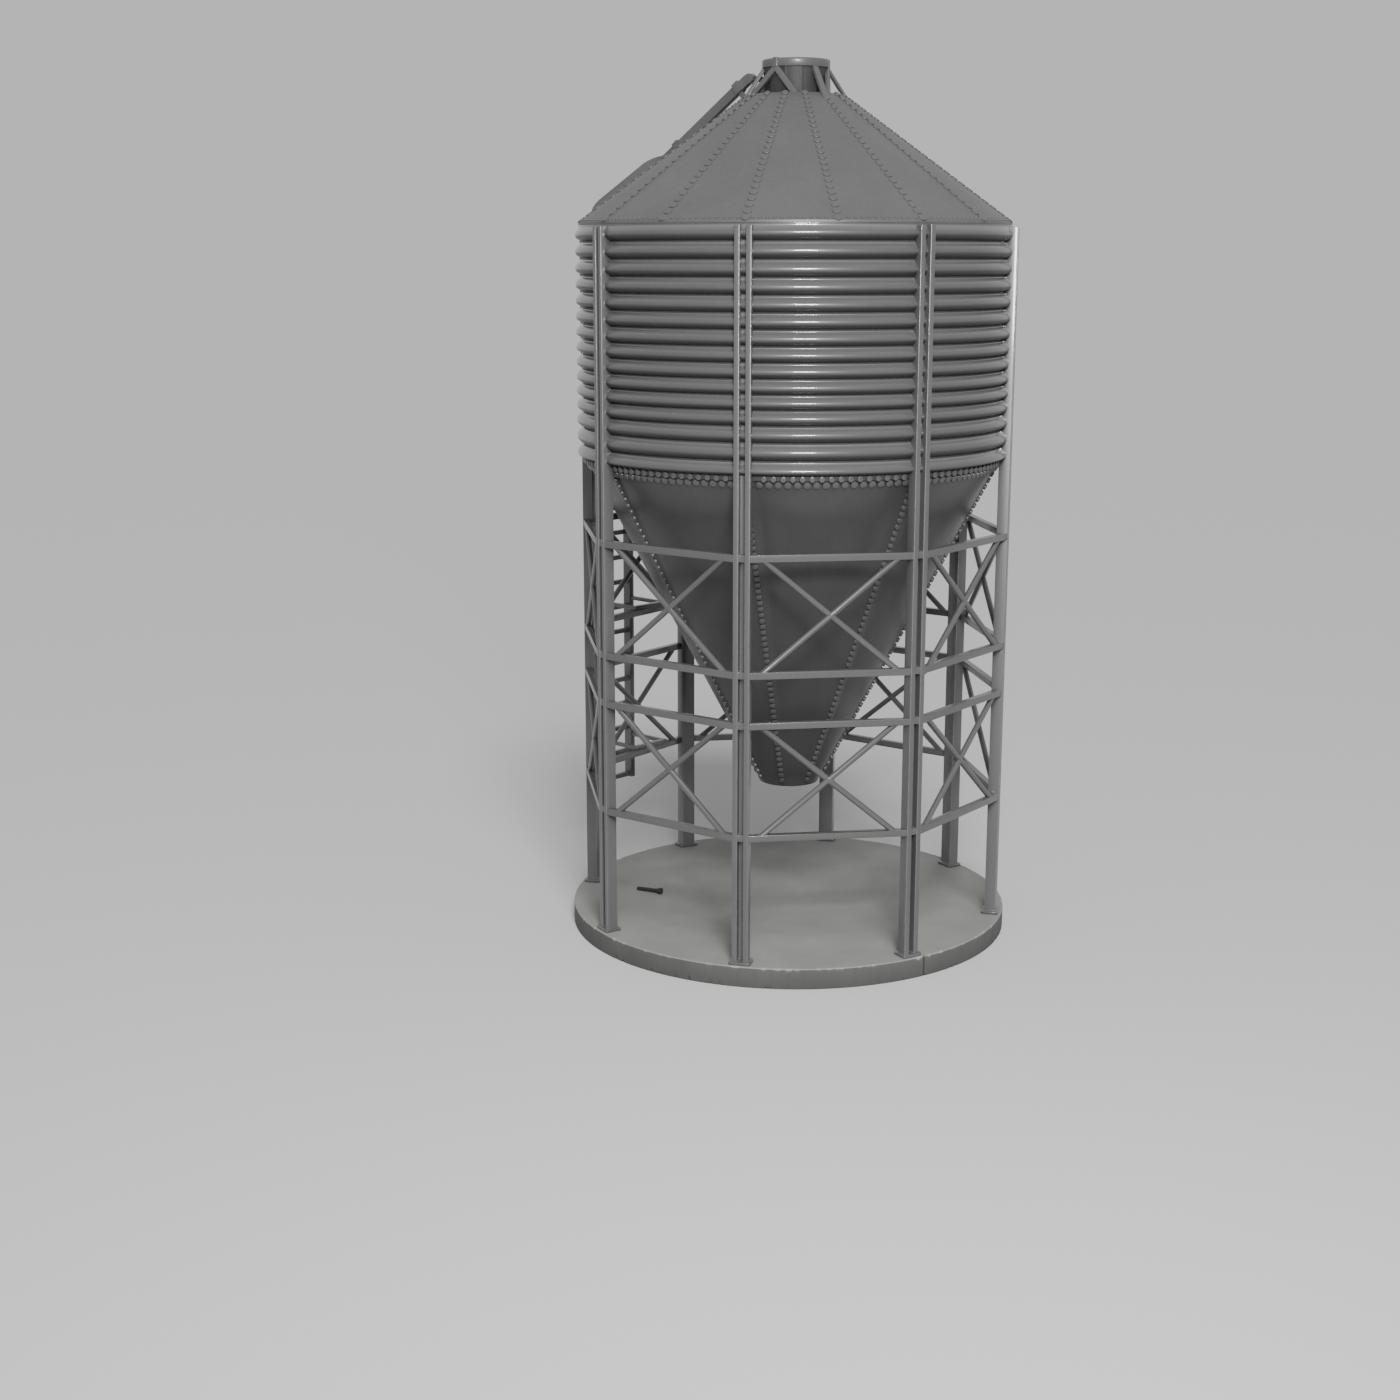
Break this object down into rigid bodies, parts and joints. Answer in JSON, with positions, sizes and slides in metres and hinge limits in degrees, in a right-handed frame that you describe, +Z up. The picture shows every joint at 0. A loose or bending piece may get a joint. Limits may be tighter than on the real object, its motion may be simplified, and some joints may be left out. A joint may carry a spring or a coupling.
{
  "type": "grain silo",
  "caption": "Corrugated steel grain silo with a cone roof and cone hopper, standing on braced legs over a round concrete slab, with a ladder over the eave.",
  "frame": {"origin": "middle of the slab's underside", "axes": "+Z up, leg 1 stands toward -Y, the other legs follow every 45 degrees toward +X"},
  "size_m": [5.0462, 4.86, 9.341],
  "materials": {
    "concrete": "cast concrete, stained",
    "wall_steel": "galvanised sheet, half gloss",
    "frame_steel": "galvanised sections, dull"
  },
  "bodies": {
    "root": {"foundation_slab": "concrete", "leg_1": "frame_steel", "leg_2": "frame_steel", "leg_3": "frame_steel", "leg_4": "frame_steel", "leg_5": "frame_steel", "leg_6": "frame_steel", "leg_7": "frame_steel", "leg_8": "frame_steel", "upper_frame_1": "frame_steel", "upper_frame_2": "frame_steel", "upper_frame_3": "frame_steel", "upper_frame_4": "frame_steel", "upper_frame_5": "frame_steel", "upper_frame_6": "frame_steel", "upper_frame_7": "frame_steel", "upper_frame_8": "frame_steel", "lower_frame_1": "frame_steel", "lower_frame_2": "frame_steel", "lower_frame_3": "frame_steel", "lower_frame_4": "frame_steel", "lower_frame_5": "frame_steel", "lower_frame_6": "frame_steel", "lower_frame_7": "frame_steel", "lower_frame_8": "frame_steel", "wall_panel_1": "wall_steel", "wall_panel_2": "wall_steel", "wall_panel_3": "wall_steel", "wall_panel_4": "wall_steel", "wall_panel_5": "wall_steel", "wall_panel_6": "wall_steel", "wall_panel_7": "wall_steel", "wall_panel_8": "wall_steel", "eave_ring": "wall_steel", "roof_cone": "wall_steel", "roof_neck": "wall_steel", "cap_with_stays": "frame_steel", "hopper_ring": "wall_steel", "hopper_cone": "wall_steel", "side_ladder": "frame_steel", "eave_arch": "frame_steel", "roof_ladder": "frame_steel", "ladder_bracket_upper": "frame_steel", "ladder_bracket_lower": "frame_steel"}
  },
  "joints": []
}
